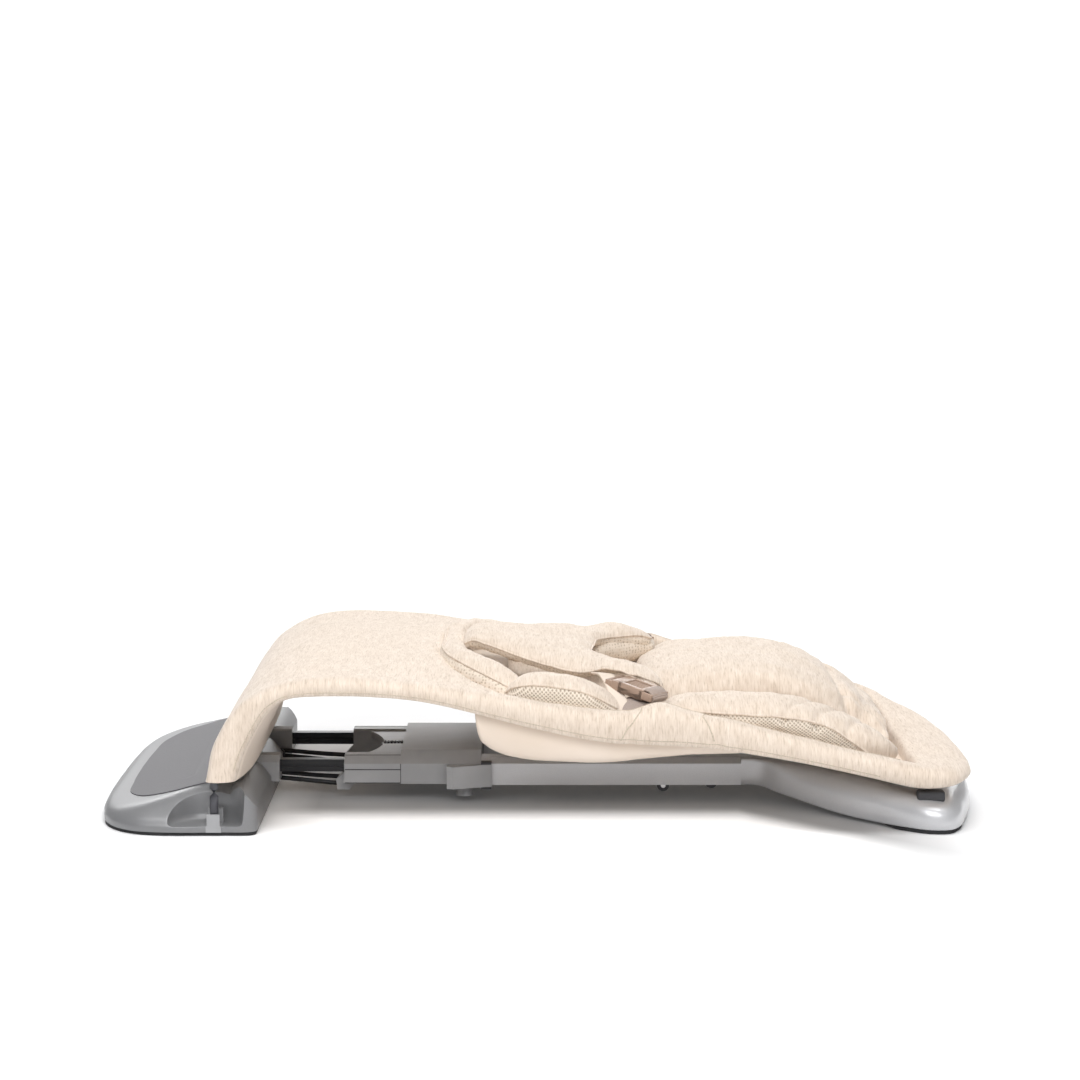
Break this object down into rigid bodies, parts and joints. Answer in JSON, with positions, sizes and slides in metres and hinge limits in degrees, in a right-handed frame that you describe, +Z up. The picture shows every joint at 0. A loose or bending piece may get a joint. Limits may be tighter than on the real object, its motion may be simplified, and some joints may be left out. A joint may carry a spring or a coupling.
{
  "type": "baby bouncer seat",
  "caption": "Folding baby bouncer folded flat: fabric seat on a wire hoop rising from a foot plate, with rails that telescope to a U-shaped rear base and a padded insert with harness.",
  "frame": {"origin": "on the floor under the middle of the folded seat's bounding box", "axes": "+X from the foot plate to the head end, +Y to the far side, +Z up"},
  "size_m": [0.84, 0.426, 0.1572],
  "materials": {
    "silver_paint": "silver metallic paint, satin",
    "inlay_dark": "fine textured, matte",
    "black_rubber": "matte",
    "dark_plastic": "matte",
    "grey_plastic": "satin moulded",
    "black_anodised": "black anodised",
    "bright_steel": "bright zinc",
    "hoop_wire": "dark grey powder coat",
    "knit_fabric": "cream heather jersey knit",
    "mesh_fabric": "diamond air mesh",
    "plain_fabric": "plain woven beige",
    "webbing": "ribbed mauve webbing",
    "buckle_plastic": "satin mauve-grey"
  },
  "bodies": {
    "front_base": {"foot_sole": "black_rubber", "foot_base_plate": "dark_plastic", "foot_shell": "silver_paint", "foot_inlay": "inlay_dark", "foot_screws": "bright_steel", "pivot_boot_near": "grey_plastic", "pivot_boot_far": "grey_plastic", "rod_socket_near": "grey_plastic", "rod_socket_far": "grey_plastic", "guide_rod_near": "black_anodised", "guide_rod_far": "black_anodised", "shaft_bearing_near": "dark_plastic", "shaft_bearing_far": "dark_plastic"},
    "crank": {"crank_shaft": "hoop_wire", "crank_arm_near": "dark_plastic", "crank_arm_far": "dark_plastic"},
    "link_near": {"link_rod_near": "black_anodised"},
    "link_far": {"link_rod_far": "black_anodised"},
    "rear_frame": {"rail_shell_near": "grey_plastic", "rail_shell_far": "grey_plastic", "lug_pins": "bright_steel", "bridge_plate": "grey_plastic", "detent_rack": "dark_plastic", "centre_cover": "grey_plastic", "rail_near": "grey_plastic", "rail_far": "grey_plastic", "rear_loop": "silver_paint", "loop_sole": "black_rubber", "seat_bumper_near": "black_rubber", "seat_bumper_far": "black_rubber", "support_pegs": "grey_plastic", "lever_pivot_near": "dark_plastic", "lever_pivot_far": "dark_plastic", "rail_bushings": "dark_plastic", "rail_rivets": "bright_steel"},
    "lever_near": {"release_lever_near": "grey_plastic"},
    "lever_far": {"release_lever_far": "grey_plastic"},
    "seat": {"seat_hoop": "hoop_wire", "rim_cover_near": "knit_fabric", "rim_cover_far": "knit_fabric", "leg_panel": "knit_fabric", "head_cover": "knit_fabric", "sling": "plain_fabric", "seat_pad": "mesh_fabric", "back_pad": "knit_fabric", "leg_bolster_near": "knit_fabric", "leg_bolster_far": "knit_fabric", "head_bolster_near": "knit_fabric", "head_bolster_far": "knit_fabric", "crotch_pad": "knit_fabric", "buckle_tongue_near": "buckle_plastic", "buckle_tongue_far": "buckle_plastic", "strap_tab_near": "plain_fabric", "strap_tab_far": "plain_fabric", "hip_strap_near": "webbing", "hip_strap_far": "webbing"},
    "buckle_near": {"buckle_socket_near": "buckle_plastic"},
    "buckle_far": {"buckle_socket_far": "buckle_plastic"}
  },
  "joints": [
    {"name": "seat_recline", "type": "hinge", "parent": "front_base", "child": "crank", "pos_m": [-0.301, 0, 0.014], "axis": [0, -1, 0], "range_deg": [0, 36]},
    {"name": "seat_bounce", "type": "hinge", "parent": "crank", "child": "seat", "pos_m": [-0.301, 0, 0.014], "axis": [0, -1, 0], "range_deg": [0, 4], "stiffness_Nm_per_rad": 150},
    {"name": "base_slide", "type": "slide", "parent": "front_base", "child": "rear_frame", "axis": [-1, 0, 0], "range_m": [0, 0.018]},
    {"name": "link_swing_near", "type": "hinge", "parent": "rear_frame", "child": "link_near", "pos_m": [-0.192, -0.05, 0.0148], "axis": [0, 1, 0], "range_deg": [0, 17]},
    {"name": "link_swing_far", "type": "hinge", "parent": "rear_frame", "child": "link_far", "pos_m": [-0.192, 0.05, 0.0148], "axis": [0, 1, 0], "range_deg": [0, 17]},
    {"name": "lever_squeeze_near", "type": "hinge", "parent": "rear_frame", "child": "lever_near", "pos_m": [-0.052, -0.0815, 0.0285], "axis": [0, 0, -1], "range_deg": [0, 5], "stiffness_Nm_per_rad": 0.5},
    {"name": "lever_squeeze_far", "type": "hinge", "parent": "rear_frame", "child": "lever_far", "pos_m": [-0.052, 0.0815, 0.0285], "axis": [0, 0, 1], "range_deg": [0, 5], "stiffness_Nm_per_rad": 0.5},
    {"name": "buckle_pull_near", "type": "slide", "parent": "seat", "child": "buckle_near", "axis": [0.7735, -0.6043, -0.1908], "range_m": [0, 0.015]},
    {"name": "buckle_pull_far", "type": "slide", "parent": "seat", "child": "buckle_far", "axis": [0.7735, 0.6043, -0.1908], "range_m": [0, 0.015]}
  ],
  "couplings": [
    {"joint": "base_slide", "follows": "seat_recline", "m_per_rad": 0.02817},
    {"joint": "link_swing_near", "follows": "seat_recline", "ratio": 0.458},
    {"joint": "link_swing_far", "follows": "seat_recline", "ratio": 0.458}
  ]
}
